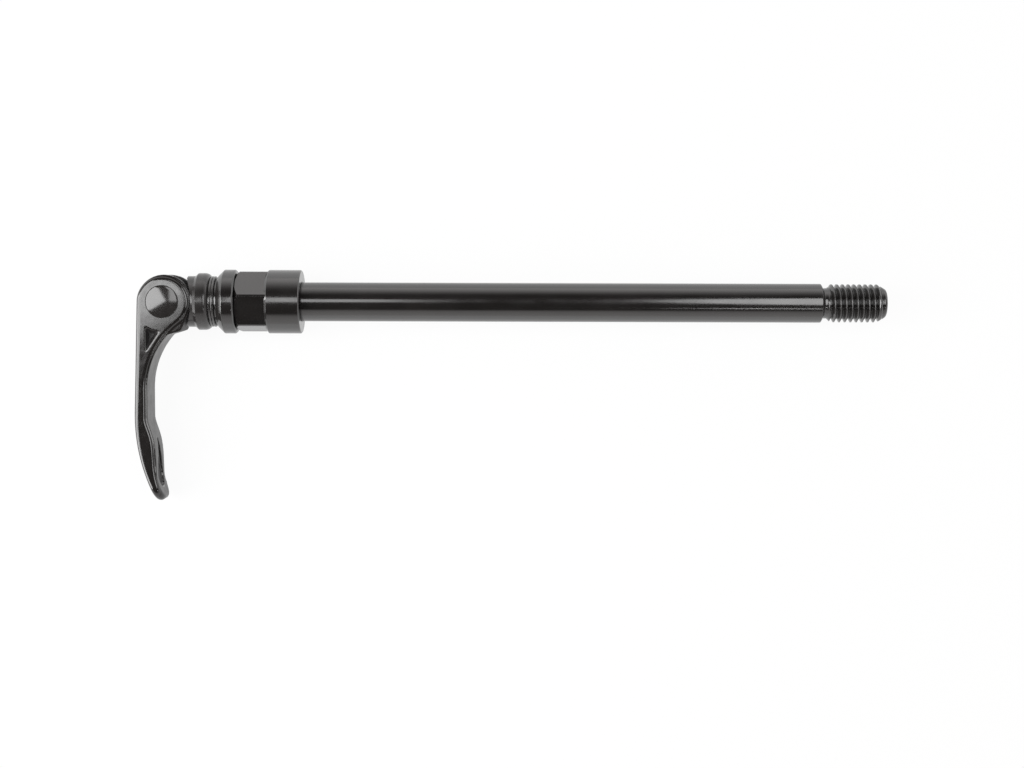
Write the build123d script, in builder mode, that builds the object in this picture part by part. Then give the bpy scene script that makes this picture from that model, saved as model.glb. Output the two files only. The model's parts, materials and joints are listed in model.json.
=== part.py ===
from build123d import *
import os
from math import acos, asin, atan2, cos, degrees, hypot, radians, sin, sqrt

# A bicycle thru axle with a cam lever, in millimetres and degrees.
# X runs along the axle towards its thread, Z is up, and the lever lies towards -Y.
# X = 0 is the collar's face, which meets the frame. The lever is closed.

os.makedirs("parts", exist_ok=True)

# Clearances
run_gap = 0.05  # radial, between pieces that turn or slide
thread_gap = 0.03  # radial, between a screwed stud and its hole
face_gap = 0.1  # axial, between the flange and the nut
end_gap = 0.4  # axial, past the end of a piece in its hole
cam_gap = 0.12  # between the closed cam and its cup
slot_gap = 0.35  # on each side of the stud, in the lever's slot

# Shaft: journal under the lever's fittings, shank, relief groove, thread and nose
shank_d = 12.0
shank_length = 159.9
relief_d = 9.4
relief_drop = 0.85  # length of the chamfer from the shank down to the groove
relief_width = 1.1
thread_d = 11.75  # crest of the M12 x 1.75 thread
thread_lead_in = 1.2
thread_length = 14.2
nose_d = 8.9
nose_length = 2.75
nose_edge = 0.3
journal_d = 11.0
core_d = 5.5  # bore that lightens the shaft
core_depth = 150.0
edge_break = 0.3  # small chamfer on turned edges

# Draw stud and barrel pin
stud_d = 6.0
stud_in_shaft = 12.5
stud_in_pin = 3.4  # how far it runs past the pin's axis
pin_d = 10.0
pin_proud = 0.15  # how far the pin stands out of the lever's head

# Lever: cam, head, neck, blade and grip, as seen along the barrel pin
cam_r = 8.25
cam_throw = 0.65  # from the pin's axis to the centre of the cam's circle
body_half = 6.4  # half the width of the lever's body
body_round = 1.2
rim_half = 5.9  # half the width of the thin rim on the inner side
rim_width = 0.3  # how far that rim stands out from the body, along the blade
head_cover = 0.27  # how far the body stands out from the cam, opposite the rim
head_drop = 0.15  # how far the head's centre lies below the pin's axis
heel_x = 5.7  # corner of the heel, where the cam stands out over the neck
heel_drop = 8.9
heel_root = 10.2  # depth at which its underside meets the neck
heel_round = 0.9
neck_r = 25.0
blade_outer = 8.8  # from the pin's axis to the blade's outer face
blade_thickness = 4.05
bend_start = 35.4  # below the pin's axis, as are the depths that follow
bend_r = 55.0
lever_reach = 61.9
tip_thickness = 3.0
tip_corner = 4.6  # rounding of the tip's corners, seen from the broad side
rim_stop = 4.0  # from the rim's end to the tip
grip_start = 35.5
grip_peak = 43.0
grip_thickness = 5.4
pocket_r = 9.2  # from the pin's axis to the pocket's upper side
pocket_wall = 3.7  # between the pocket and the blade's outer face
pocket_right = -0.95
pocket_bottom = 15.4
pocket_depth = 1.6
pocket_draft = 30.0  # slope of its walls, in degrees
scoop_top = 42.2
scoop_bottom = 57.3
scoop_width = 7.4
scoop_point = 0.55  # radius of its narrow end
scoop_depth = 0.9

# Cup between the cam and the washers
cup_d = 17.55
cup_waist_d = 15.7
cup_land_d = 15.8  # flat of the back face, inside its rounded edge
cup_round = 1.1
cup_shoulder = 3.85  # from the back face to the end of the full width
cup_slope = 1.6
cup_length = 6.9
cup_depth = 5.13  # from the back face to the bottom of the saddle
cup_seat_depth = 1.95  # for the journal's end
saddle_r = 15.0

# Washers
washer_d = 15.6
washer_thickness = 0.85
washer_edge = 0.25

# Flanged sleeve
flange_d = 19.7
flange_thickness = 3.2
flange_chamfer = 0.5
cone_d = 15.9
cone_length = 1.95
land_d = 14.4
land_height = 0.7
barrel_d = 14.0  # M14 x 1 adjusting thread
barrel_length = 11.3
barrel_groove = 0.6

# Adjusting nut: hexagon and collar, with a seal inside
nut_length = 19.8
hex_flats = 17.0
hex_corner_d = 19.3
hex_chamfer = 1.1
hex_turn = 21.5
collar_d = 19.6
collar_length = 9.9
collar_lead = 0.7  # length of the cone from the hexagon up to the collar
collar_rise = 0.6
collar_edge = 0.3
seal_section = 1.5
seal_edge = 0.3
seal_lip = 0.5

# Places along the axle that follow from the sizes above
nut_end = -nut_length
flange_front = nut_end - face_gap
flange_edge = flange_front - flange_chamfer
flange_back = flange_edge - flange_thickness
cone_end = flange_back - cone_length
land_end = cone_end - land_height
washer_mid = land_end - washer_thickness
cup_back = washer_mid - washer_thickness
cup_seat = cup_back - cup_seat_depth
saddle_x = cup_back - cup_depth
pivot_x = saddle_x - cam_gap - cam_r - cam_throw
journal_end = cup_seat + end_gap
barrel_end = flange_front + barrel_length
relief_x = shank_length + relief_drop
thread_x = relief_x + relief_width + thread_lead_in
thread_end = thread_x + thread_length
nose_end = thread_end + nose_length

# The lever's swing plane is rolled about the axle, so that the blade lies level with the flange
lever_roll = asin((flange_d / 2 - body_half) / (lever_reach - tip_corner))
hinge = Vector(0, -sin(lever_roll), cos(lever_roll))
swing = Plane(origin=(pivot_x, 0, 0), x_dir=(1, 0, 0), z_dir=hinge)
across = Plane(origin=(pivot_x, 0, 0), x_dir=hinge, z_dir=(-1, 0, 0))  # the lever's broad side

# Shaft
with BuildPart() as axle_shaft:
    with BuildSketch(Plane.XY):
        with BuildLine():
            Polyline(
                (journal_end, 0),
                (journal_end, journal_d / 2 - edge_break),
                (journal_end + edge_break, journal_d / 2),
                (0, journal_d / 2),
                (0, shank_d / 2),
                (shank_length, shank_d / 2),
                (relief_x, relief_d / 2),
                (relief_x + relief_width, relief_d / 2),
                (thread_x, thread_d / 2),
                (thread_end, thread_d / 2),
                (nose_end, nose_d / 2),
                (nose_end, 0),
                close=True,
            )
        make_face()
    revolve(axis=Axis.X)
    chamfer(axle_shaft.edges().filter_by(GeomType.CIRCLE).group_by(Axis.X)[-1], nose_edge)
    with Locations(Plane(origin=(journal_end, 0, 0), z_dir=(-1, 0, 0))):
        Hole(stud_d / 2 + thread_gap, depth=stud_in_shaft + end_gap)
    with Locations(Plane(origin=(nose_end, 0, 0), z_dir=(1, 0, 0))):
        CounterSinkHole(core_d / 2, core_d / 2 + edge_break, depth=core_depth, counter_sink_angle=90)
axle_shaft.part.label = "axle_shaft"
export_step(axle_shaft.part, "parts/axle_shaft.step")

# Stud from the shaft, through the cup and the lever's slot, into the barrel pin
stud_start = pivot_x - stud_in_pin
stud_end = journal_end + stud_in_shaft
with BuildPart() as draw_stud:
    with BuildSketch(Plane(origin=(stud_start, 0, 0), z_dir=(1, 0, 0))):
        Circle(stud_d / 2)
    extrude(amount=stud_end - stud_start)
    chamfer(draw_stud.edges().filter_by(GeomType.CIRCLE), edge_break)
draw_stud.part.label = "draw_stud"
export_step(draw_stud.part, "parts/draw_stud.step")

# Barrel pin with a cross hole for the stud
with BuildPart() as barrel_pin:
    with BuildSketch(swing):
        Circle(pin_d / 2)
    extrude(amount=body_half + pin_proud, both=True)
    chamfer(barrel_pin.edges().filter_by(GeomType.CIRCLE), edge_break)
    with BuildSketch(Plane(origin=(stud_start - end_gap, 0, 0), z_dir=(1, 0, 0))):
        Circle(stud_d / 2 + thread_gap)
    extrude(amount=pin_d, mode=Mode.SUBTRACT)
barrel_pin.part.label = "barrel_pin"
export_step(barrel_pin.part, "parts/barrel_pin.step")

# The lever's outline in the swing plane, with the pin's axis at (0, 0).
# The body's head covers the cam's circle at the left and leaves it free as a rim at the right.
blade_inner = blade_thickness - blade_outer
neck_x = blade_inner + neck_r
neck_y = -sqrt((neck_r + cam_r) ** 2 - (neck_x - cam_throw) ** 2)
body_neck_r = neck_r + rim_width
head_left = cam_r - cam_throw + head_cover
to_neck = Vector(neck_x + head_left, neck_y + head_drop)
head_r = (to_neck.length**2 - body_neck_r**2) / (to_neck.X + body_neck_r) / 2  # touches the body's neck
head_x = head_r - head_left
bend_x = bend_r - blade_outer
rim_end = lever_reach - rim_stop


def in_bend(depth, inward):
    """A point inside the bend: on its outer face at a depth, then inward along its radius."""
    turn = asin((depth - bend_start) / bend_r)
    r = bend_r - inward
    return (bend_x - r * cos(turn), -bend_start - r * sin(turn))


def grip_edge(inset, end):
    """Points up the grip's inner face, from a depth near the tip to where it meets the blade."""
    grip_mid = (grip_start + grip_peak) / 2
    lower_mid = (grip_peak + lever_reach) / 2
    return [
        in_bend(end, tip_thickness - inset),
        in_bend(lower_mid, (grip_thickness + tip_thickness) / 2 - inset),
        in_bend(grip_peak, grip_thickness - inset),
        in_bend(grip_mid, (blade_thickness + grip_thickness) / 2 - inset),
        (blade_inner - inset, -grip_start),
    ]


def circle_meets_neck(x, y, r):
    """Where a circle of the head touches the neck's arc."""
    share = r / hypot(neck_x - x, neck_y - y)
    return (x + (neck_x - x) * share, y + (neck_y - y) * share)


# Where the straight outer face touches the head and the bend, and where the head touches the neck
bend_below = bend_start - head_drop  # from the head's centre down to the bend's
head_to_bend = hypot(bend_x - head_x, bend_below)
slant = acos((bend_r - head_r) / head_to_bend) - atan2(bend_below, bend_x - head_x)
face_top = (head_x - head_r * cos(slant), -head_drop - head_r * sin(slant))
bend_top = (bend_x - bend_r * cos(slant), -bend_start - bend_r * sin(slant))
bend_end = in_bend(lever_reach, 0)
tip_turn = asin((lever_reach - bend_start) / bend_r)
inward = swing.x_dir * cos(tip_turn) + swing.y_dir * sin(tip_turn)
tip_face = Plane(origin=swing.from_local_coords(bend_end), x_dir=-hinge, z_dir=inward)
body_neck = circle_meets_neck(head_x, -head_drop, head_r)
rim_neck = circle_meets_neck(cam_throw, 0, cam_r)

# The cam's heel: a straight face down from the cam's circle, and an underside that runs into the neck
heel = (heel_x, -heel_drop)
heel_aim = acos(cam_r / hypot(heel_x - cam_throw, heel_drop)) - atan2(heel_drop, heel_x - cam_throw)
heel_top = (cam_throw + cam_r * cos(heel_aim), cam_r * sin(heel_aim))
heel_foot = (neck_x - sqrt(neck_r**2 - (neck_y + heel_root) ** 2), -heel_root)

# Finger scoop: a teardrop that follows the grip's inner face
with BuildPart() as scoop:
    with BuildSketch(swing):
        with BuildLine():
            floor = Spline(*grip_edge(scoop_depth, rim_end))
            Polyline(floor @ 1, (bend_x, -grip_start), (bend_x, -rim_end), floor @ 0)
        make_face()
    extrude(amount=body_half, both=True)
    with BuildSketch(across):
        with Locations((0, scoop_width / 2 - scoop_bottom)):
            Circle(scoop_width / 2)
        with Locations((0, -scoop_point - scoop_top)):
            Circle(scoop_point)
        make_hull()
    extrude(amount=2 * blade_outer, both=True, mode=Mode.INTERSECT)

# Lever
with BuildPart() as lever:
    with BuildSketch(swing):
        with BuildLine():
            outer_face = Line(face_top, bend_top)
            bend = TangentArc(bend_top, bend_end, tangent=outer_face % 1)
            grip = grip_edge(rim_width, lever_reach)
            Line(bend_end, grip[0])
            Spline(*grip, tangents=(-(bend % 1), (0, 1)))
            Line(grip[-1], (blade_inner - rim_width, neck_y))
            TangentArc((blade_inner - rim_width, neck_y), body_neck, tangent=(0, 1))
            ThreePointArc(body_neck, (head_x, head_r - head_drop), face_top)
        make_face()
    extrude(amount=body_half, both=True)

    # The tip's corners, then the edges all round
    with BuildSketch(tip_face):
        broad = Rectangle(2 * body_half, 2 * lever_reach, align=(Align.CENTER, Align.MIN))
        fillet(broad.vertices().group_by(Axis.Y)[0], tip_corner)
    extrude(amount=lever_reach, both=True, mode=Mode.INTERSECT)
    side_edges = lever.faces().filter_by(swing).edges()
    fillet(side_edges.filter_by(Axis(swing.origin, inward), reverse=True), body_round)

    # The cam's cheeks, and the rim that runs from them down the inner side
    with BuildSketch(swing) as rim:
        with Locations((cam_throw, 0)):
            Circle(cam_r)
        with BuildLine():
            edge = grip_edge(0, rim_end)
            rim_root = in_bend(rim_end + body_round, tip_thickness / 2)
            Line(rim_root, edge[0])
            Spline(*edge, tangents=(-(bend % 1), (0, 1)))
            Line(edge[-1], (blade_inner, neck_y))
            neck = TangentArc((blade_inner, neck_y), rim_neck, tangent=(0, 1))
            Polyline(
                rim_neck,
                (cam_throw, 0),
                (blade_inner - rim_width - body_round, neck_y),
                in_bend(grip_start, body_round),
                in_bend(grip_peak, body_round),
                rim_root,
            )
        make_face()
        with BuildLine():
            Polyline(heel_top, heel, heel_foot, (cam_throw, 0), close=True)
        make_face()
        fillet(rim.vertices().sort_by_distance(heel)[0], heel_round)
    extrude(amount=rim_half, both=True)

    # Slot for the stud, open at the top and both sides of the head, and bore for the pin
    slot_half = stud_d / 2 + slot_gap
    with BuildSketch(across):
        with Locations((0, cam_r)):
            slot = Rectangle(2 * slot_half, 2 * (cam_r + slot_half))
        fillet(slot.vertices().group_by(Axis.Y)[0], slot_gap)
    extrude(amount=2 * cam_r, both=True, mode=Mode.SUBTRACT)
    with BuildSketch(swing):
        Circle(pin_d / 2 + run_gap)
    extrude(amount=2 * body_half, both=True, mode=Mode.SUBTRACT)

    # Triangular pocket on each side of the neck
    pocket_left = pocket_wall - blade_outer
    upper_left = (pocket_left, -sqrt(pocket_r**2 - pocket_left**2))
    upper_right = (pocket_right, -sqrt(pocket_r**2 - pocket_right**2))
    for side in (-1, 1):
        with BuildSketch(swing.offset(side * body_half)):
            with BuildLine():
                RadiusArc(upper_left, upper_right, -pocket_r)
                Polyline(upper_right, (pocket_left, -pocket_bottom), upper_left)
            make_face()
        extrude(amount=-side * pocket_depth, taper=pocket_draft, mode=Mode.SUBTRACT)

    add(scoop.part, mode=Mode.SUBTRACT)
lever.part.label = "lever"
export_step(lever.part, "parts/lever.step")

# Cup, with a saddle across it for the cam and a seat for the journal
with BuildPart() as cam_cup:
    with BuildSketch(Plane.XY):
        with BuildLine():
            Polyline(
                (cup_back, journal_d / 2 + run_gap),
                (cup_back, cup_land_d / 2),
                (cup_back - cup_round, cup_d / 2),
                (cup_back - cup_shoulder, cup_d / 2),
                (cup_back - cup_shoulder - cup_slope, cup_waist_d / 2),
                (cup_back - cup_length, cup_waist_d / 2),
                (cup_back - cup_length, stud_d / 2 + slot_gap),
                (cup_seat, stud_d / 2 + slot_gap),
                (cup_seat, journal_d / 2 + run_gap),
                close=True,
            )
        make_face()
    revolve(axis=Axis.X)
    with BuildSketch(Plane(origin=(saddle_x - saddle_r, 0, 0), x_dir=(1, 0, 0), z_dir=hinge)):
        Circle(saddle_r)
    extrude(amount=cup_d, both=True, mode=Mode.SUBTRACT)
cam_cup.part.label = "cam_cup"
export_step(cam_cup.part, "parts/cam_cup.step")

# Washers
with BuildPart() as cup_washer:
    with BuildSketch(Plane(origin=(cup_back, 0, 0), z_dir=(1, 0, 0))):
        Circle(washer_d / 2)
        Circle(journal_d / 2 + run_gap, mode=Mode.SUBTRACT)
    extrude(amount=washer_thickness)
    chamfer(cup_washer.edges().sort_by(SortBy.LENGTH)[-2:], washer_edge)
cup_washer.part.label = "cup_washer"
export_step(cup_washer.part, "parts/cup_washer.step")

with BuildPart() as sleeve_washer:
    with BuildSketch(Plane(origin=(washer_mid, 0, 0), z_dir=(1, 0, 0))):
        Circle(washer_d / 2)
        Circle(journal_d / 2 + run_gap, mode=Mode.SUBTRACT)
    extrude(amount=washer_thickness)
    chamfer(sleeve_washer.edges().sort_by(SortBy.LENGTH)[-2:], washer_edge)
sleeve_washer.part.label = "sleeve_washer"
export_step(sleeve_washer.part, "parts/sleeve_washer.step")

# Flanged sleeve: land, cone, flange and threaded barrel
with BuildPart() as flanged_sleeve:
    with BuildSketch(Plane.XY):
        with BuildLine():
            Polyline(
                (land_end, journal_d / 2 + run_gap),
                (land_end, land_d / 2),
                (cone_end, land_d / 2),
                (cone_end, cone_d / 2),
                (flange_back, flange_d / 2),
                (flange_edge, flange_d / 2),
                (flange_front, flange_d / 2 - flange_chamfer),
                (flange_front, barrel_d / 2 - barrel_groove),
                (flange_front + 2 * barrel_groove, barrel_d / 2 - barrel_groove),
                (flange_front + 3 * barrel_groove, barrel_d / 2),
                (barrel_end - edge_break, barrel_d / 2),
                (barrel_end, barrel_d / 2 - edge_break),
                (barrel_end, journal_d / 2 + run_gap),
                close=True,
            )
        make_face()
    revolve(axis=Axis.X)
flanged_sleeve.part.label = "flanged_sleeve"
export_step(flanged_sleeve.part, "parts/flanged_sleeve.step")

# Adjusting nut, bored for the barrel, the seal and the shank
nut_floor = barrel_end + end_gap
seal_start = nut_floor + seal_lip
seal_end = seal_start + seal_section
seal_r = journal_d / 2 + seal_section + run_gap
nut_bore_r = barrel_d / 2 + run_gap
collar_bore_r = shank_d / 2 + run_gap
hex_end = -collar_length - collar_lead
with BuildPart() as adjusting_nut:
    with BuildSketch(Plane(origin=(nut_end, 0, 0), x_dir=(0, 1, 0), z_dir=(1, 0, 0))):
        RegularPolygon(hex_flats / 2, 6, major_radius=False, rotation=hex_turn)
    extrude(amount=nut_length - collar_length)
    with BuildSketch(Plane.XY):
        with BuildLine():
            Polyline(
                (nut_end, 0),
                (nut_end, hex_corner_d / 2 - hex_chamfer),
                (nut_end + hex_chamfer, hex_corner_d / 2),
                (-collar_length, hex_corner_d / 2),
                (-collar_length, 0),
                close=True,
            )
        make_face()
    revolve(axis=Axis.X, mode=Mode.INTERSECT)
    with BuildSketch(Plane.XY):
        with BuildLine():
            Polyline(
                (hex_end, 0),
                (hex_end, collar_d / 2 - collar_rise),
                (-collar_length, collar_d / 2),
                (-collar_edge, collar_d / 2),
                (0, collar_d / 2 - collar_edge),
                (0, 0),
                close=True,
            )
        make_face()
    revolve(axis=Axis.X)
    with BuildSketch(Plane.XY):
        with BuildLine():
            Polyline(
                (nut_end, 0),
                (nut_end, nut_bore_r),
                (nut_floor, nut_bore_r),
                (nut_floor, collar_bore_r),
                (seal_start, collar_bore_r),
                (seal_start, seal_r),
                (seal_end, seal_r),
                (seal_end, collar_bore_r),
                (-edge_break, collar_bore_r),
                (0, collar_bore_r + edge_break),
                (0, 0),
                close=True,
            )
        make_face()
    revolve(axis=Axis.X, mode=Mode.SUBTRACT)
adjusting_nut.part.label = "adjusting_nut"
export_step(adjusting_nut.part, "parts/adjusting_nut.step")

# Seal ring in the nut's groove
seal_gap = run_gap / 2
with BuildPart() as seal_ring:
    with BuildSketch(Plane.XY):
        with Locations(((seal_start + seal_end) / 2, (journal_d / 2 + seal_r) / 2)):
            section = Rectangle(seal_section - 2 * seal_gap, seal_section - 2 * seal_gap)
        chamfer(section.vertices(), seal_edge)
    revolve(axis=Axis.X)
seal_ring.part.label = "seal_ring"
export_step(seal_ring.part, "parts/seal_ring.step")
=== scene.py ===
# %% [markdown]
# # A bicycle thru axle with a cam lever
# The axle lies on a pale table with its lever closed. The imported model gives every
# piece at its real size. This lesson dresses those pieces: turned parts get fine
# edges and real threads, and each surface gets its finish.

# %% Load the frame
import json
from math import atan2, cos, hypot, pi, radians, sin, tan

import bpy
from mathutils import Matrix, Vector


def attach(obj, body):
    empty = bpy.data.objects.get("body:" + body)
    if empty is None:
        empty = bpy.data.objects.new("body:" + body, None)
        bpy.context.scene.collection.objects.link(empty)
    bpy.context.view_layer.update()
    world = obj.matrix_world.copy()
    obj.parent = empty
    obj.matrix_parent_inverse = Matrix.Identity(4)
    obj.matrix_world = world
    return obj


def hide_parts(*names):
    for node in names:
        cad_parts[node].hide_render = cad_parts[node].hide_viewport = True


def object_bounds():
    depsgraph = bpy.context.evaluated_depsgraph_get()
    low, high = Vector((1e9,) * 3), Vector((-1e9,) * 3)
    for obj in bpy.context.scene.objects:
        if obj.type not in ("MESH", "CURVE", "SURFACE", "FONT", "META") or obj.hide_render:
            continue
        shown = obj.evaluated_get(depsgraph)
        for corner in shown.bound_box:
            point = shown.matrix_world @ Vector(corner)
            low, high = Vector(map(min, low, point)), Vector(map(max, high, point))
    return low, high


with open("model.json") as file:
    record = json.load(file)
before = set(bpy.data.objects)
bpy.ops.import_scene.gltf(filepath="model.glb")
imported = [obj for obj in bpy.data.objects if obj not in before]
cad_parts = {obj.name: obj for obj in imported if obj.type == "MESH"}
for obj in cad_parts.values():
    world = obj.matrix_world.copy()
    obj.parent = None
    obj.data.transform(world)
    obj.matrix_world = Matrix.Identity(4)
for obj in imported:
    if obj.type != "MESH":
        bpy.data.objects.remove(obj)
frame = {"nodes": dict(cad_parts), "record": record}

MM = 0.001
cad_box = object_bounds()
print("nodes:", ", ".join(sorted(frame["nodes"])))

# %% [markdown]
# ## The table, the camera and the light
# The axle was seen from straight above, from half a metre over its middle. Black gloss
# shows what is around it, so the light matters more than the colour. The room is bright
# near the table and dark overhead. Six lamps make the bright lines and patches on the
# gloss. A seventh is hidden from reflections and only lightens the shadows.

# %% Table
TABLE_SIZE = 6.0
TABLE_GLOW = 0.93
PAPER_WHITE = 0.92

bpy.ops.object.select_all(action="DESELECT")
bpy.ops.mesh.primitive_plane_add(size=TABLE_SIZE, location=(0, 0, cad_box[0].z))
table = bpy.context.object
table.name = table.data.name = "table"
bpy.ops.object.transform_apply(location=True)

paper = bpy.data.materials.new("white_paper")
paper.use_nodes = True
nodes, links = paper.node_tree.nodes, paper.node_tree.links
nodes.clear()
output = nodes.new("ShaderNodeOutputMaterial")
mix = nodes.new("ShaderNodeMixShader")
matt = nodes.new("ShaderNodeBsdfDiffuse")
matt.inputs["Color"].default_value = (PAPER_WHITE, PAPER_WHITE, PAPER_WHITE, 1)
glow = nodes.new("ShaderNodeEmission")
ray = nodes.new("ShaderNodeLightPath")
seen = nodes.new("ShaderNodeMath")
seen.operation = "MAXIMUM"
share = nodes.new("ShaderNodeMath")
share.operation = "MULTIPLY"
share.inputs[1].default_value = TABLE_GLOW
links.new(ray.outputs["Is Camera Ray"], seen.inputs[0])
links.new(ray.outputs["Is Glossy Ray"], seen.inputs[1])
links.new(seen.outputs[0], share.inputs[0])
links.new(share.outputs[0], mix.inputs[0])
links.new(matt.outputs[0], mix.inputs[1])
links.new(glow.outputs[0], mix.inputs[2])
links.new(mix.outputs[0], output.inputs[0])
table.data.materials.append(paper)

# %% Camera
FOCAL_PIXELS = 1700
IMAGE_WIDTH = 1024
SENSOR_WIDTH = 36.0
CAMERA_PLACE = (64.9, -25.2, 525.0)
CAMERA_ROLL = 0.168

bpy.ops.object.camera_add(location=Vector(CAMERA_PLACE) * MM, rotation=(0, 0, radians(CAMERA_ROLL)))
camera = bpy.context.object
camera.data.sensor_width = SENSOR_WIDTH
camera.data.lens = FOCAL_PIXELS / IMAGE_WIDTH * SENSOR_WIDTH
bpy.context.scene.camera = camera
bpy.context.scene.view_settings.view_transform = "Standard"

# %% Room
ROOM_STRENGTH = 1.35
ROOM_TINT = (1.0, 0.978, 0.97)
SIDE_BLEND = 0.15  # half the width of the change from the near side to the far side

room = bpy.data.worlds.new("studio")
bpy.context.scene.world = room
room.use_nodes = True
nodes, links = room.node_tree.nodes, room.node_tree.links
nodes.clear()
output = nodes.new("ShaderNodeOutputWorld")
background = nodes.new("ShaderNodeBackground")
place = nodes.new("ShaderNodeTexCoord")
split = nodes.new("ShaderNodeSeparateXYZ")
links.new(place.outputs["Generated"], split.inputs[0])


def height_ramp(stops):
    """A ramp of (height, brightness), from the horizon at 0 to straight above at 1."""
    ramp = nodes.new("ShaderNodeValToRGB")
    while len(ramp.color_ramp.elements) < len(stops):
        ramp.color_ramp.elements.new(0.5)
    for element, (height, level) in zip(ramp.color_ramp.elements, stops):
        element.position = height
        element.color = (*(tint * level for tint in ROOM_TINT), 1)
    links.new(split.outputs["Z"], ramp.inputs["Fac"])
    return ramp


far_side = height_ramp([
    (0.0, 1.0), (0.22, 0.85), (0.37, 0.62), (0.5, 0.4), (0.62, 0.21), (0.72, 0.07), (0.82, 0.02),
])
near_side = height_ramp([(0.0, 0.64), (0.36, 0.54), (0.53, 0.44), (0.61, 0.25), (0.67, 0.02)])
side = nodes.new("ShaderNodeMapRange")
side.inputs["From Min"].default_value = -SIDE_BLEND
side.inputs["From Max"].default_value = SIDE_BLEND
links.new(split.outputs["Y"], side.inputs["Value"])
blend = nodes.new("ShaderNodeMixRGB")
links.new(side.outputs[0], blend.inputs["Fac"])
links.new(near_side.outputs["Color"], blend.inputs["Color1"])
links.new(far_side.outputs["Color"], blend.inputs["Color2"])
links.new(blend.outputs[0], background.inputs["Color"])
background.inputs["Strength"].default_value = ROOM_STRENGTH
links.new(background.outputs[0], output.inputs[0])

# %% Lamps
LAMP_HEIGHT = 0.70
SIDE_LAMP_HEIGHT, SIDE_LAMP_LEAN = 0.31, -65


def lamp(name, centre, size, radiance, turn=0, glossy=True):
    """A flat lamp over the table, facing down. Its size doesn't change how bright it looks."""
    light = bpy.data.lights.new(name, "AREA")
    light.shape = "RECTANGLE"
    light.size, light.size_y = size
    light.energy = radiance * pi * size[0] * size[1]
    obj = bpy.data.objects.new(name, light)
    bpy.context.scene.collection.objects.link(obj)
    obj.location = (centre[0], centre[1], LAMP_HEIGHT)
    obj.rotation_euler = (0, 0, radians(turn))
    obj.visible_camera = False
    obj.visible_glossy = glossy
    return obj


lamp("left_lamp", centre=(-0.445, 0.031), size=(0.42, 0.42), radiance=4.6, turn=30)
lamp("middle_lamp", centre=(-0.08, 0.05), size=(0.116, 0.2), radiance=2.6)
lamp("middle_lamp_edge", centre=(-0.067, 0.05), size=(0.142, 0.2), radiance=0.8)
right_lamp = lamp("right_lamp", centre=(0.375, 0.085), size=(0.40, 0.54), radiance=3.1)
right_lamp.data.shape = "ELLIPSE"
right_lamp.data.energy *= pi / 4
lamp("strip_lamp", centre=(0.42, -0.5), size=(0.40, 0.045), radiance=5.0)
lamp("ceiling_fill", centre=(0.0, 0.0), size=(2.0, 2.0), radiance=0.25, glossy=False)
side_lamp = lamp("side_lamp", centre=(-0.62, -0.13), size=(0.5, 0.5), radiance=5.0)
side_lamp.location.z = SIDE_LAMP_HEIGHT
side_lamp.rotation_euler = (0, radians(SIDE_LAMP_LEAN), 0)

# %% [markdown]
# ## Turned pieces
# Most of this object came off a lathe, so most of it is made the same way here. Half of
# a piece's section is drawn by pulling one vertex from corner to corner, and a spin about
# the axle's line turns that section into the solid. A narrow bevel then breaks the edges,
# because a real turned edge always catches a thin line of light.

# %% A lathe
AROUND = 144
SEAM = 0.0005  # vertices nearer than this, in mm, are one


def draw_section(name, corners):
    """One vertex pulled from corner to corner, given in mm as (along the axle, from its line)."""
    bpy.ops.object.select_all(action="DESELECT")
    bpy.ops.mesh.primitive_plane_add()
    piece = bpy.context.object
    piece.name = piece.data.name = name
    bpy.ops.object.mode_set(mode="EDIT")
    bpy.ops.mesh.select_all(action="SELECT")
    bpy.ops.mesh.merge(type="CENTER")
    here = Vector((0, 0, 0))
    for number, (along, out) in enumerate(corners):
        step = Vector((along, out, 0)) * MM - here
        if number:
            bpy.ops.mesh.extrude_region_move(TRANSFORM_OT_translate={"value": step})
        else:
            bpy.ops.transform.translate(value=step)
        here += step
    return piece


def close_mesh():
    """Merges the seams and turns the faces outwards, in edit mode."""
    bpy.ops.mesh.select_all(action="SELECT")
    bpy.ops.mesh.remove_doubles(threshold=SEAM * MM)
    bpy.ops.mesh.normals_make_consistent(inside=False)
    bpy.ops.object.mode_set(mode="OBJECT")


def turned(name, corners):
    """A solid of revolution about the axle's line."""
    piece = draw_section(name, corners)
    bpy.ops.mesh.select_all(action="SELECT")
    bpy.ops.mesh.spin(steps=AROUND, angle=2 * pi, center=(0, 0, 0), axis=(1, 0, 0))
    close_mesh()
    return piece


# %% Modifiers that finish a piece
SMOOTH_ANGLE = 40


def pick(piece):
    """Selects this piece alone and makes it the active one."""
    bpy.ops.object.select_all(action="DESELECT")
    piece.select_set(True)
    bpy.context.view_layer.objects.active = piece


def apply_modifier(piece, kind, **settings):
    """Adds a modifier with these settings and applies it at once."""
    pick(piece)
    modifier = piece.modifiers.new(kind.lower(), kind)
    for key, value in settings.items():
        setattr(modifier, key, value)
    bpy.ops.object.modifier_apply(modifier=modifier.name)


def combine(piece, tool, how):
    """Joins a tool to a piece, cuts it away or keeps what both share. The tool is used up."""
    apply_modifier(piece, "BOOLEAN", object=tool, operation=how, solver="EXACT")
    bpy.data.objects.remove(tool)


def smooth(piece):
    """Smooths the round faces and keeps the flat ones flat."""
    pick(piece)
    bpy.ops.object.shade_smooth_by_angle(angle=radians(SMOOTH_ANGLE))
    apply_modifier(piece, "WEIGHTED_NORMAL", mode="FACE_AREA_WITH_ANGLE", keep_sharp=True)


def soften(piece, width, segments=2, sharp=30):
    """Breaks the edges by a narrow bevel, its width in mm, and smooths the rest."""
    apply_modifier(piece, "BEVEL", width=width * MM, segments=segments, limit_method="ANGLE",
                   angle_limit=radians(sharp))
    smooth(piece)


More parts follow.
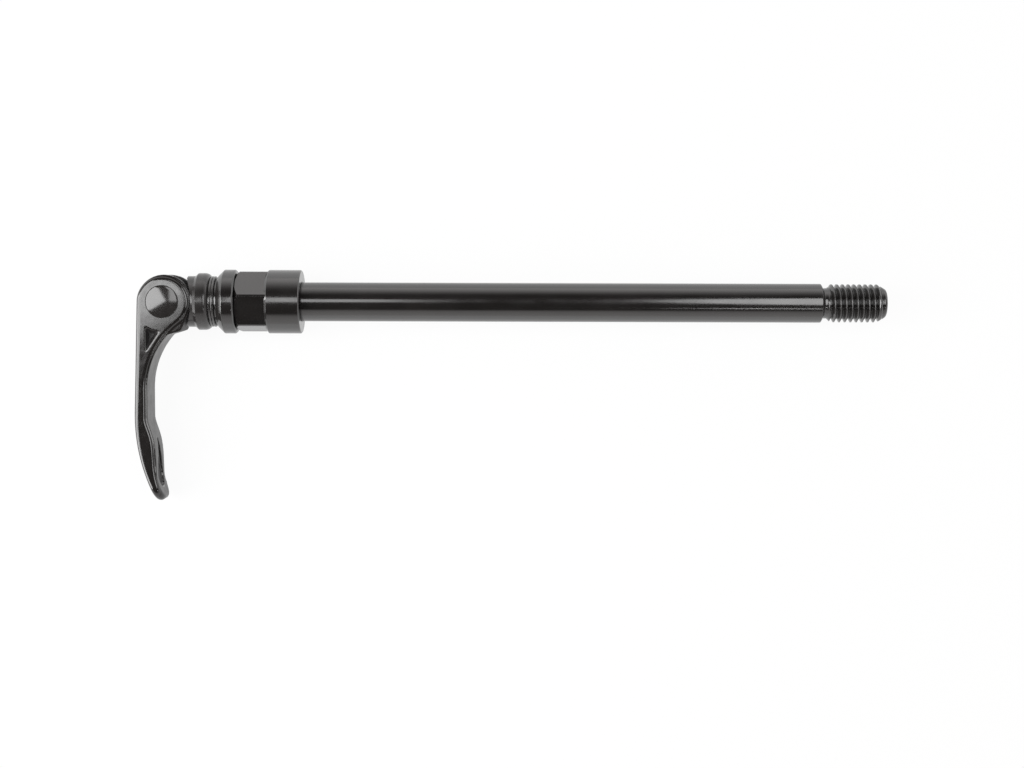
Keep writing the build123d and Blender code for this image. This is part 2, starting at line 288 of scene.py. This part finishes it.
def fit(piece, body, node):
    """Ties a finished piece to its body and lets it stand for the plain solid."""
    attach(piece, body)
    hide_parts(node)
    print(piece.name, "stands for", node, "with", len(piece.data.polygons), "faces")


# %% [markdown]
# ## A screw thread
# A die cuts one V-shaped groove that winds along the bar. The groove is drawn as a small
# section, wound up by a Screw modifier, and cut away from the bar. It starts a little above
# the crest, so that the cut is clean, and stays narrower than the pitch, so that its turns
# never meet.

# %% A thread die
GROOVE_DEPTH, ROOT_HALF, ABOVE_CREST = 0.613, 1 / 16, 0.06  # shares of the pitch
FLANK_ANGLE, STEPS_A_TURN = 30, 72


def groove(name, start, end, crest_r, pitch, turn=0):
    """A right-hand V groove, wound from start to end and turned about the axle's line."""
    depth, root_half, over = GROOVE_DEPTH * pitch, ROOT_HALF * pitch, ABOVE_CREST * pitch
    mouth_half = root_half + (depth + over) * tan(radians(FLANK_ANGLE))
    tool = draw_section(name, [
        (start - mouth_half, crest_r + over),
        (start - root_half, crest_r - depth),
        (start + root_half, crest_r - depth),
        (start + mouth_half, crest_r + over),
        (start - mouth_half, crest_r + over),
    ])
    bpy.ops.object.mode_set(mode="OBJECT")
    turns = (end - start) / pitch
    steps = round(STEPS_A_TURN * turns)
    apply_modifier(tool, "SCREW", axis="X", angle=2 * pi * turns, steps=steps, render_steps=steps,
                   screw_offset=(end - start) * MM)
    bpy.ops.object.mode_set(mode="EDIT")
    bpy.ops.mesh.select_all(action="SELECT")
    bpy.ops.mesh.remove_doubles(threshold=SEAM * MM)
    bpy.ops.mesh.fill_holes(sides=4)
    close_mesh()
    tool.rotation_euler.x = radians(turn)
    bpy.ops.object.transform_apply(rotation=True)
    return tool


# %% [markdown]
# ## The shaft
# One bar runs through everything: a thin journal under the lever's fittings, the 12 mm
# shank that carries the hub, a relief groove, and the thread that screws into the frame.
# It is bored from the threaded end to save weight, and the other end takes a steel stud.
# The section below goes from the stud's hole, along the outside, to the end of that bore.

# %% Shaft
JOURNAL_END, JOURNAL_R = -29.5, 5.5
STUD_HOLE_R, STUD_HOLE_END = 3.03, -16.6
SHANK_R, SHANK_END = 6.0, 159.9
RELIEF_R, RELIEF_START, RELIEF_END = 4.7, 160.75, 161.85
THREAD_R, THREAD_START, THREAD_END, THREAD_PITCH = 5.875, 163.05, 177.25, 1.75
THREAD_RUN_IN = 0.35  # from the start of the relief to the start of the groove
THREAD_TURN = 109  # brings the crests where the photograph shows them
NOSE_R, NOSE_END = 4.45, 180.0
CORE_R, CORE_START = 2.75, 30.0
EDGE = 0.3

shaft = turned("shaft", [
    (STUD_HOLE_END, 0), (STUD_HOLE_END, STUD_HOLE_R), (JOURNAL_END, STUD_HOLE_R),
    (JOURNAL_END, JOURNAL_R - EDGE), (JOURNAL_END + EDGE, JOURNAL_R), (0, JOURNAL_R),
    (0, SHANK_R), (SHANK_END, SHANK_R), (RELIEF_START, RELIEF_R), (RELIEF_END, RELIEF_R),
    (THREAD_START, THREAD_R), (THREAD_END, THREAD_R), (NOSE_END - EDGE, NOSE_R),
    (NOSE_END, NOSE_R - EDGE), (NOSE_END, CORE_R + EDGE), (NOSE_END - EDGE, CORE_R),
    (CORE_START, CORE_R), (CORE_START, 0),
])
soften(shaft, width=0.12)
groove_start = RELIEF_START + THREAD_RUN_IN
thread_tool = groove("shaft_groove", groove_start, NOSE_END, THREAD_R, THREAD_PITCH, THREAD_TURN)
combine(shaft, thread_tool, "DIFFERENCE")
smooth(shaft)

# %% Stud that ties the shaft to the lever's pin
PIVOT_X = -42.1
STUD_R, STUD_PAST_PIVOT, STUD_IN_SHAFT = 3.0, 3.4, 12.5
STUD_START, STUD_END = PIVOT_X - STUD_PAST_PIVOT, JOURNAL_END + STUD_IN_SHAFT

stud = turned("tie_stud", [
    (STUD_START, 0), (STUD_START, STUD_R - EDGE), (STUD_START + EDGE, STUD_R),
    (STUD_END - EDGE, STUD_R), (STUD_END, STUD_R - EDGE), (STUD_END, 0),
])
soften(stud, width=0.06)

# %% [markdown]
# ## The flanged sleeve and its nut
# The nut screws along the sleeve's barrel, which sets where the closed lever points. At
# rest the barrel is hidden inside the nut, but it shows when the nut is turned out, so it
# gets its thread as well. The nut starts as a six-sided bar. A lathe would chamfer its
# corners in one cut, so here the bar is crossed with a turned blank, which leaves the
# curved lines on the flats. Then the round collar is joined to it and the inside is bored.

# %% Flanged sleeve
RUN_GAP = 0.05
BORE_R = JOURNAL_R + RUN_GAP
FLANGE_R, FLANGE_FRONT, FLANGE_BACK, FLANGE_CHAMFER = 9.85, -19.9, -23.6, 0.5
CONE_R, CONE_END = 7.95, -25.55
LAND_R, LAND_END = 7.2, -26.25
BARREL_R, BARREL_END, BARREL_GROOVE, BARREL_PITCH = 7.0, -8.6, 0.6, 1.0

sleeve = turned("flange_sleeve", [
    (LAND_END, BORE_R), (LAND_END, LAND_R), (CONE_END, LAND_R), (CONE_END, CONE_R),
    (FLANGE_BACK, FLANGE_R), (FLANGE_FRONT - FLANGE_CHAMFER, FLANGE_R),
    (FLANGE_FRONT, FLANGE_R - FLANGE_CHAMFER), (FLANGE_FRONT, BARREL_R - BARREL_GROOVE),
    (FLANGE_FRONT + 2 * BARREL_GROOVE, BARREL_R - BARREL_GROOVE),
    (FLANGE_FRONT + 3 * BARREL_GROOVE, BARREL_R), (BARREL_END - EDGE, BARREL_R),
    (BARREL_END, BARREL_R - EDGE), (BARREL_END, BORE_R), (LAND_END, BORE_R),
])
soften(sleeve, width=0.15)
thread_tool = groove("barrel_groove", FLANGE_FRONT + BARREL_GROOVE, BARREL_END + BARREL_PITCH,
                     BARREL_R, BARREL_PITCH)
combine(sleeve, thread_tool, "DIFFERENCE")
smooth(sleeve)

# %% Washers
WASHER_R, WASHER_THICKNESS, OIL_FILM = 7.8, 0.85, 0.01
WASHER_MID = LAND_END - WASHER_THICKNESS
CUP_BACK = WASHER_MID - WASHER_THICKNESS


def ring(name, start, end, inner, outer):
    """A plain ring about the axle's line."""
    corners = [(start, inner), (start, outer), (end, outer), (end, inner), (start, inner)]
    return turned(name, corners)


def washer(name, start):
    """A thin ring with rolled edges, and room for a film of oil on both sides."""
    piece = ring(name, start + OIL_FILM, start + WASHER_THICKNESS - OIL_FILM, BORE_R, WASHER_R)
    soften(piece, width=0.3, segments=4)
    return piece


cup_side_washer = washer("washer_by_cup", CUP_BACK)
flange_side_washer = washer("washer_by_flange", WASHER_MID)

# %% Adjusting nut
NUT_END, HEX_FLATS, HEX_CORNER_R, HEX_CHAMFER, HEX_TURN = -19.8, 17.0, 9.65, 1.1, 21.5
COLLAR_R, COLLAR_START, COLLAR_LEAD, COLLAR_RISE, COLLAR_EDGE = 9.8, -9.9, 0.7, 0.6, 0.3
NUT_BORE_R, NUT_FLOOR, COLLAR_BORE_R = BARREL_R + RUN_GAP, -8.2, SHANK_R + RUN_GAP
SEAL_START, SEAL_SIZE = -7.7, 1.5
SEAL_R = JOURNAL_R + SEAL_SIZE + RUN_GAP
OVERRUN = 1  # how far a boring tool runs past the end of what it cuts

bpy.ops.object.select_all(action="DESELECT")
bpy.ops.mesh.primitive_cylinder_add(
    vertices=6, radius=HEX_FLATS / 2 / cos(pi / 6) * MM, depth=-NUT_END * MM,
    location=(NUT_END / 2 * MM, 0, 0), rotation=(0, pi / 2, 0),
)
nut = bpy.context.object
nut.name = nut.data.name = "collar_nut"
bpy.ops.object.transform_apply(location=True, rotation=True)
bpy.ops.object.mode_set(mode="EDIT")
bpy.ops.mesh.select_all(action="SELECT")
bpy.ops.transform.rotate(value=radians(-HEX_TURN), orient_axis="X", center_override=(0, 0, 0))
bpy.ops.object.mode_set(mode="OBJECT")
blank = turned("hexagon_blank", [
    (NUT_END, 0), (NUT_END, HEX_CORNER_R - HEX_CHAMFER), (NUT_END + HEX_CHAMFER, HEX_CORNER_R),
    (COLLAR_START, HEX_CORNER_R), (COLLAR_START, 0),
])
combine(nut, blank, "INTERSECT")
collar = turned("collar", [
    (COLLAR_START - COLLAR_LEAD, 0), (COLLAR_START - COLLAR_LEAD, COLLAR_R - COLLAR_RISE),
    (COLLAR_START, COLLAR_R), (-COLLAR_EDGE, COLLAR_R), (0, COLLAR_R - COLLAR_EDGE), (0, 0),
])
combine(nut, collar, "UNION")
bore = turned("nut_bore", [
    (NUT_END - OVERRUN, 0), (NUT_END - OVERRUN, NUT_BORE_R), (NUT_FLOOR, NUT_BORE_R),
    (NUT_FLOOR, COLLAR_BORE_R), (SEAL_START, COLLAR_BORE_R), (SEAL_START, SEAL_R),
    (SEAL_START + SEAL_SIZE, SEAL_R), (SEAL_START + SEAL_SIZE, COLLAR_BORE_R),
    (-EDGE, COLLAR_BORE_R), (0, COLLAR_BORE_R + EDGE), (OVERRUN, COLLAR_BORE_R + EDGE),
    (OVERRUN, 0),
])
combine(nut, bore, "DIFFERENCE")
soften(nut, width=0.12, sharp=25)

# %% Seal ring
SEAL_GAP = 0.025
seal = ring("rubber_seal", SEAL_START + SEAL_GAP, SEAL_START + SEAL_SIZE - SEAL_GAP,
            JOURNAL_R + SEAL_GAP, SEAL_R - SEAL_GAP)
soften(seal, width=0.4, segments=4)

# %% [markdown]
# ## The cup under the cam
# A plastic cup sits between the cam and the washers. It is turned, then hollowed across
# by a wide cylinder, so that the cam rocks in a saddle. The lever's swing is rolled a few
# degrees about the axle, and the saddle and the pin follow that roll.

# %% Cam cup
SADDLE_R, CUP_DEPTH = 15.0, 5.13
CUP_R, CUP_WAIST_R, CUP_LAND_R, CUP_ROUND = 8.775, 7.85, 7.5, 1.8
CUP_SHOULDER, CUP_SLOPE, CUP_LENGTH, CUP_SEAT = 3.65, 1.0, 6.9, 1.95
CUP_HOLE_R, CUP_ROUND_STEPS = 3.35, 6
joints = {joint["name"]: joint for joint in frame["record"]["behaviour"]["joints"]}
hinge = -Vector(joints["lever_pivot"]["axis"])
roll = atan2(-hinge.y, hinge.z)

back_edge = []
for step in range(CUP_ROUND_STEPS + 1):
    lean = pi / 2 * step / CUP_ROUND_STEPS
    along = CUP_BACK - CUP_ROUND * (1 - cos(lean))
    back_edge.append((along, CUP_LAND_R + (CUP_R - CUP_LAND_R) * sin(lean)))
cup = turned("cup", [
    (CUP_BACK, BORE_R), *back_edge, (CUP_BACK - CUP_SHOULDER, CUP_R),
    (CUP_BACK - CUP_SHOULDER - CUP_SLOPE, CUP_WAIST_R), (CUP_BACK - CUP_LENGTH, CUP_WAIST_R),
    (CUP_BACK - CUP_LENGTH, CUP_HOLE_R), (CUP_BACK - CUP_SEAT, CUP_HOLE_R),
    (CUP_BACK - CUP_SEAT, BORE_R), (CUP_BACK, BORE_R),
])
bpy.ops.object.select_all(action="DESELECT")
bpy.ops.mesh.primitive_cylinder_add(
    vertices=2 * AROUND, radius=SADDLE_R * MM, depth=4 * CUP_R * MM,
    location=((CUP_BACK - CUP_DEPTH - SADDLE_R) * MM, 0, 0), rotation=(roll, 0, 0),
)
combine(cup, bpy.context.object, "DIFFERENCE")
soften(cup, width=0.25, segments=3)

# %% Pin that the lever turns on
PIN_R, PIN_HALF, PIN_DOME, PIN_EDGE = 5.0, 6.55, 0.15, 0.15
DOME_STEPS, STUD_END_GAP = 8, 0.4

right_end = []
for step in range(DOME_STEPS + 1):
    outwards = step / DOME_STEPS
    right_end.append((PIN_HALF - PIN_DOME * outwards**2, (PIN_R - PIN_EDGE) * outwards))
right_end.append((PIN_HALF - PIN_DOME - PIN_EDGE, PIN_R))
left_end = [(-along, out) for along, out in right_end]
pin = turned("cross_pin", left_end + right_end[::-1])
to_pivot = Matrix.Translation((PIVOT_X * MM, 0, 0))
along_hinge = Vector((1, 0, 0)).rotation_difference(hinge).to_matrix().to_4x4()
pin.matrix_world = to_pivot @ along_hinge
bpy.ops.object.transform_apply(location=True, rotation=True)
hole_start, hole_end = STUD_START - STUD_END_GAP, PIVOT_X + 2 * PIN_R
cross_hole = turned("cross_hole", [
    (hole_start, 0), (hole_start, STUD_HOLE_R), (hole_end, STUD_HOLE_R), (hole_end, 0),
])
combine(pin, cross_hole, "DIFFERENCE")
soften(pin, width=0.08)

# %% [markdown]
# ## The lever
# The lever is a forging that was polished by hand, so none of its edges is crisp. The solid
# already has its fork, its rim and its scoop, as loose triangles with hard edges. A copy of
# them is rebuilt as an even net of small squares, which is drawn back onto the true shape.
# Smoothing the net then rounds every edge by the same few tenths of a millimetre and leaves
# the flat faces flat. The net's squares lie along the world's axes, so the lever is turned
# level for it and turned back after. The bore for the pin is plugged first and reamed
# afterwards, because a reamed edge stays crisp.

# %% Bars and turns for the lever
def turn_about_axle(piece, angle):
    """Turns a piece about the axle's line and keeps the turn in its mesh."""
    pick(piece)
    piece.rotation_euler.x = angle
    bpy.ops.object.transform_apply(rotation=True)


def cross_bar(name, radius, start, end):
    """A bar along the pin's axis, between two distances from the axle's line."""
    bpy.ops.object.select_all(action="DESELECT")
    middle = Vector((PIVOT_X, 0, 0)) + hinge * (start + end) / 2
    bpy.ops.mesh.primitive_cylinder_add(
        vertices=AROUND, radius=radius * MM, depth=(end - start) * MM,
        location=middle * MM, rotation=(roll, 0, 0),
    )
    bpy.context.object.name = name
    return bpy.context.object


# %% Cam lever
BODY_HALF, PIN_BORE_R = 6.4, 5.05
PLUG_R, PLUG_DEEP = PIN_R + 0.5, 4.2
NET_SIZE, POLISH_ROUNDS, POLISH_FACTOR = 0.2, 9, 0.5

lever = bpy.data.objects.new("cam_lever", frame["nodes"]["lever"].data.copy())
bpy.context.scene.collection.objects.link(lever)
pick(lever)
bpy.ops.object.mode_set(mode="EDIT")
bpy.ops.mesh.select_all(action="SELECT")
bpy.ops.mesh.remove_doubles(threshold=SEAM * MM)
bpy.ops.object.mode_set(mode="OBJECT")
combine(lever, cross_bar("front_plug", PLUG_R, PLUG_DEEP, BODY_HALF), "UNION")
combine(lever, cross_bar("back_plug", PLUG_R, -BODY_HALF, -PLUG_DEEP), "UNION")

turn_about_axle(lever, -roll)
true_shape = bpy.data.objects.new("true_shape", lever.data.copy())
bpy.context.scene.collection.objects.link(true_shape)
apply_modifier(lever, "REMESH", mode="VOXEL", voxel_size=NET_SIZE * MM)
apply_modifier(lever, "SHRINKWRAP", target=true_shape, wrap_method="NEAREST_SURFACEPOINT")
apply_modifier(lever, "SMOOTH", factor=POLISH_FACTOR, iterations=POLISH_ROUNDS)
bpy.data.objects.remove(true_shape)
turn_about_axle(lever, roll)
combine(lever, cross_bar("pin_bore", PIN_BORE_R, -2 * BODY_HALF, 2 * BODY_HALF), "DIFFERENCE")
bpy.ops.object.shade_smooth_by_angle(angle=radians(SMOOTH_ANGLE))

# %% [markdown]
# ### Where the polish reached
# The polishing wheel never reached the bottom of the lever's pockets, the cam or the inside
# of the scoop, and the blade's inner side is only brushed. Every face is sorted by its place,
# in millimetres from the pin: across along X, along the blade, and out along the pin.

# %% Polished, rough and brushed parts of the lever
POLISHED, ROUGH, BRUSHED = 0, 1, 2
POCKET_LEFT, POCKET_TOP, POCKET_BOTTOM = -5.6, -8.2, -15.6
POCKET_FLOOR, POCKET_FACE = 4.5, 6.0
LIP_ACROSS, LIP_ALONG, LIP_SLANT = -0.95, -9.2, 0.613
CAM_ACROSS, CAM_HALF = 3.5, 5.85
BRUSHED_HALF, INWARDS, OUTWARDS = 5.5, 0.3, -0.3
SCOOP_TOP, SCOOP_POINT, SCOOP_BOTTOM, SCOOP_HALF, SCOOP_EDGE = -42.2, 0.55, -57.3, 3.7, 0.25
up_blade = hinge.cross(Vector((1, 0, 0)))


def past_scoop(out, along):
    """How far a place lies outside the scoop's teardrop, and less than nothing inside it."""
    wide, narrow = SCOOP_BOTTOM + SCOOP_HALF, SCOOP_TOP - SCOOP_POINT
    upwards = min(max((along - wide) / (narrow - wide), 0), 1)
    radius = SCOOP_HALF + (SCOOP_POINT - SCOOP_HALF) * upwards
    return hypot(out, along - wide - (narrow - wide) * upwards) - radius


def in_pocket(across, along, out):
    """Whether a place is on the floor of one of the two pockets, which a slanted lip ends."""
    lip = LIP_ACROSS + LIP_SLANT * (along - LIP_ALONG)
    in_outline = POCKET_LEFT < across < lip and POCKET_BOTTOM < along < POCKET_TOP
    return in_outline and POCKET_FLOOR < out < POCKET_FACE


def lever_part(face):
    """Says which of the three finishes a face of the lever has."""
    from_pin = face.center / MM - Vector((PIVOT_X, 0, 0))
    across, along, out = from_pin.x, from_pin.dot(up_blade), abs(from_pin.dot(hinge))
    on_cam = across > CAM_ACROSS and out < CAM_HALF
    outside = past_scoop(out, along)
    in_scoop = outside < -SCOOP_EDGE and face.normal.x > OUTWARDS
    if in_pocket(across, along, out) or on_cam or in_scoop:
        return ROUGH
    on_head_or_side = along > POCKET_TOP or out > BRUSHED_HALF
    if face.normal.x < INWARDS or on_head_or_side or outside < SCOOP_EDGE:
        return POLISHED
    return BRUSHED


for part in (POLISHED, ROUGH, BRUSHED):
    lever.data.materials.append(None)
for face in lever.data.polygons:
    face.material_index = lever_part(face)
rough_faces = sum(face.material_index == ROUGH for face in lever.data.polygons)
print("rough faces on the lever:", rough_faces)

# %% Each piece on its body
fit(shaft, "axle", "axle_shaft")
fit(stud, "axle", "draw_stud")
fit(pin, "axle", "barrel_pin")
fit(lever, "lever", "lever")
fit(cup, "cup", "cam_cup")
fit(cup_side_washer, "cup", "cup_washer")
fit(flange_side_washer, "sleeve", "sleeve_washer")
fit(sleeve, "sleeve", "flanged_sleeve")
fit(seal, "seal", "seal_ring")
fit(nut, "nut", "adjusting_nut")

# %% [markdown]
# ## Finishes
# Everything here is black, and only its surface tells one piece from the next. Dyed
# anodising is glossy with fine rings from the lathe. The lever is polished by hand, so its
# gloss waves a little. The cup is satin plastic. All the patterns are noise on the object's
# own coordinates, in metres, so a scale of 1000 means features about a millimetre across.

# %% Helpers for finishes
NOISE_LOW, NOISE_HIGH = 0.3, 0.7  # most of a noise lies between these


def start_finish(name, roughness, ior, metallic=0.0):
    """A new material that is the same all over, with its nodes, its links and its shader."""
    material = bpy.data.materials.new(name)
    material.use_nodes = True
    tree = material.node_tree
    shader = tree.nodes["Principled BSDF"]
    shader.inputs["Roughness"].default_value = roughness
    shader.inputs["IOR"].default_value = ior
    shader.inputs["Metallic"].default_value = metallic
    return material, tree.nodes, tree.links, shader


def noise(nodes, links, scale, detail, stretch=(1, 1, 1)):
    """Noise on the object's coordinates, stretched by a Mapping node. Returns its value."""
    place = nodes.new("ShaderNodeTexCoord")
    mapping = nodes.new("ShaderNodeMapping")
    mapping.inputs["Scale"].default_value = stretch
    texture = nodes.new("ShaderNodeTexNoise")
    texture.inputs["Scale"].default_value = scale
    texture.inputs["Detail"].default_value = detail
    links.new(place.outputs["Object"], mapping.inputs["Vector"])
    links.new(mapping.outputs[0], texture.inputs["Vector"])
    return texture.outputs["Fac"]


def vary_colour(nodes, links, pattern, shader, dark, light):
    """Runs the base colour from dark to light with a pattern."""
    ramp = nodes.new("ShaderNodeValToRGB")
    stops = ramp.color_ramp.elements
    stops[0].position, stops[1].position = NOISE_LOW, NOISE_HIGH
    stops[0].color, stops[1].color = (*dark, 1), (*light, 1)
    links.new(pattern, ramp.inputs["Fac"])
    links.new(ramp.outputs["Color"], shader.inputs["Base Color"])


def vary_roughness(nodes, links, pattern, shader, low, high):
    """Runs the roughness from low to high with a pattern."""
    spread = nodes.new("ShaderNodeMapRange")
    spread.inputs["From Min"].default_value = NOISE_LOW
    spread.inputs["From Max"].default_value = NOISE_HIGH
    spread.inputs["To Min"].default_value = low
    spread.inputs["To Max"].default_value = high
    links.new(pattern, spread.inputs["Value"])
    links.new(spread.outputs[0], shader.inputs["Roughness"])


def relief(nodes, links, shader, layers):
    """Stacks bumps, each given as (pattern, height in mm, strength)."""
    last = None
    for pattern, height, strength in layers:
        bump = nodes.new("ShaderNodeBump")
        bump.inputs["Distance"].default_value = height * MM
        bump.inputs["Strength"].default_value = strength
        links.new(pattern, bump.inputs["Height"])
        if last:
            links.new(last, bump.inputs["Normal"])
        last = bump.outputs["Normal"]
    links.new(last, shader.inputs["Normal"])


# %% Anodised aluminium with lathe rings
def anodised_finish():
    """Gloss black dye over turned metal. The rings are noise that changes fast along X only."""
    material, nodes, links, shader = start_finish("black_anodise", roughness=0.15, ior=1.95)
    patches = noise(nodes, links, scale=90, detail=4)
    vary_colour(nodes, links, patches, shader,
                dark=(0.0085, 0.0075, 0.0071), light=(0.0130, 0.0116, 0.0110))
    smears = noise(nodes, links, scale=350, detail=6, stretch=(0.3, 1, 1))
    vary_roughness(nodes, links, smears, shader, low=0.12, high=0.19)
    rings = noise(nodes, links, scale=14, detail=2, stretch=(900, 1, 1))
    relief(nodes, links, shader, [(rings, 0.002, 0.15)])
    return material


# %% Polished, brushed and rough parts of the lever
DYE_DARK, DYE_LIGHT = (0.0095, 0.0084, 0.0080), (0.0155, 0.0138, 0.0131)


def polished_finish():
    """Black gloss over a hand-polished forging, with a faint wave in it."""
    material, nodes, links, shader = start_finish("polished_black", roughness=0.1, ior=1.8)
    patches = noise(nodes, links, scale=120, detail=4)
    vary_colour(nodes, links, patches, shader, dark=DYE_DARK, light=DYE_LIGHT)
    smears = noise(nodes, links, scale=500, detail=6)
    vary_roughness(nodes, links, smears, shader, low=0.07, high=0.13)
    wave = noise(nodes, links, scale=260, detail=1)
    grain = noise(nodes, links, scale=4200, detail=3)
    relief(nodes, links, shader, [(wave, 0.02, 0.25), (grain, 0.002, 0.2)])
    return material


def brushed_finish():
    """The same dye on the blade's inner side, which is only brushed."""
    material, nodes, links, shader = start_finish("satin_black", roughness=0.35, ior=1.6)
    patches = noise(nodes, links, scale=300, detail=4)
    vary_colour(nodes, links, patches, shader, dark=DYE_DARK, light=DYE_LIGHT)
    vary_roughness(nodes, links, patches, shader, low=0.3, high=0.4)
    return material


def rough_finish():
    """The dye on the rough skin of the forging, where no wheel could polish it."""
    material, nodes, links, shader = start_finish("rough_black", roughness=0.55, ior=1.5)
    patches = noise(nodes, links, scale=900, detail=5)
    vary_colour(nodes, links, patches, shader,
                dark=(0.010, 0.009, 0.009), light=(0.022, 0.020, 0.020))
    skin = noise(nodes, links, scale=2600, detail=5)
    relief(nodes, links, shader, [(skin, 0.03, 0.5)])
    return material


# %% Steel pin with turned ends
RING_PITCH = 0.3
WAVE_RATE = 20  # the wave texture's own rate: 20 radians for each unit at a scale of 1


def pin_finish():
    """Blackened steel. Rings about the pin's own axis stand for the turning tool's marks."""
    material, nodes, links, shader = start_finish("turned_steel", roughness=0.07, ior=1.85)
    patches = noise(nodes, links, scale=700, detail=4)
    vary_colour(nodes, links, patches, shader,
                dark=(0.016, 0.0145, 0.014), light=(0.026, 0.0235, 0.0225))
    place = nodes.new("ShaderNodeTexCoord")
    centred = nodes.new("ShaderNodeMapping")
    centred.vector_type = "TEXTURE"
    centred.inputs["Location"].default_value = (PIVOT_X * MM, 0, 0)
    centred.inputs["Rotation"].default_value = (roll, 0, 0)
    centred.inputs["Scale"].default_value = (MM, MM, MM)
    rings = nodes.new("ShaderNodeTexWave")
    rings.wave_type = "RINGS"
    rings.rings_direction = "Z"
    rings.inputs["Scale"].default_value = 2 * pi / WAVE_RATE / RING_PITCH
    rings.inputs["Distortion"].default_value = 0.6
    rings.inputs["Detail"].default_value = 2
    links.new(place.outputs["Object"], centred.inputs["Vector"])
    links.new(centred.outputs[0], rings.inputs["Vector"])
    relief(nodes, links, shader, [(rings.outputs["Fac"], 0.006, 0.05)])
    return material


# %% Plated washers, bare steel stud, satin plastic and rubber
def washer_finish():
    """Black plating over a stamped ring."""
    material, nodes, links, shader = start_finish("black_plate", roughness=0.2, ior=2.0)
    patches = noise(nodes, links, scale=800, detail=4)
    vary_colour(nodes, links, patches, shader,
                dark=(0.012, 0.011, 0.0105), light=(0.022, 0.020, 0.019))
    vary_roughness(nodes, links, patches, shader, low=0.14, high=0.26)
    scratches = noise(nodes, links, scale=14, detail=2, stretch=(1500, 1, 1))
    relief(nodes, links, shader, [(scratches, 0.002, 0.3)])
    return material


def stud_finish():
    """Bare steel, a little dull, as on a screw."""
    material, nodes, links, shader = start_finish("bare_steel", roughness=0.3, ior=1.5,
                                                  metallic=1.0)
    patches = noise(nodes, links, scale=600, detail=4)
    vary_colour(nodes, links, patches, shader, dark=(0.34, 0.34, 0.35), light=(0.46, 0.46, 0.47))
    vary_roughness(nodes, links, patches, shader, low=0.25, high=0.4)
    return material


def plastic_finish():
    """Satin black plastic with the fine grain of its mould."""
    material, nodes, links, shader = start_finish("satin_plastic", roughness=0.2, ior=1.7)
    patches = noise(nodes, links, scale=300, detail=3)
    vary_colour(nodes, links, patches, shader,
                dark=(0.017, 0.0155, 0.015), light=(0.025, 0.023, 0.0225))
    vary_roughness(nodes, links, patches, shader, low=0.16, high=0.24)
    grain = noise(nodes, links, scale=5200, detail=4)
    relief(nodes, links, shader, [(grain, 0.006, 0.35)])
    return material


def rubber_finish():
    """Dull black rubber."""
    material, nodes, links, shader = start_finish("dull_rubber", roughness=0.65, ior=1.5)
    patches = noise(nodes, links, scale=1500, detail=4)
    vary_colour(nodes, links, patches, shader,
                dark=(0.012, 0.012, 0.012), light=(0.024, 0.024, 0.024))
    relief(nodes, links, shader, [(patches, 0.01, 0.3)])
    return material


# %% Every piece gets its finish
anodised, washer_black = anodised_finish(), washer_finish()
for piece, *finishes in (
    (shaft, anodised), (sleeve, anodised), (nut, anodised),
    (lever, polished_finish(), rough_finish(), brushed_finish()),
    (pin, pin_finish()), (stud, stud_finish()), (cup_side_washer, washer_black),
    (flange_side_washer, washer_black), (cup, plastic_finish()), (seal, rubber_finish()),
):
    for number, material in enumerate(finishes):
        if number == len(piece.data.materials):
            piece.data.materials.append(None)
        piece.data.materials[number] = material
    print(piece.name, "wears", ", ".join(m.name for m in finishes))
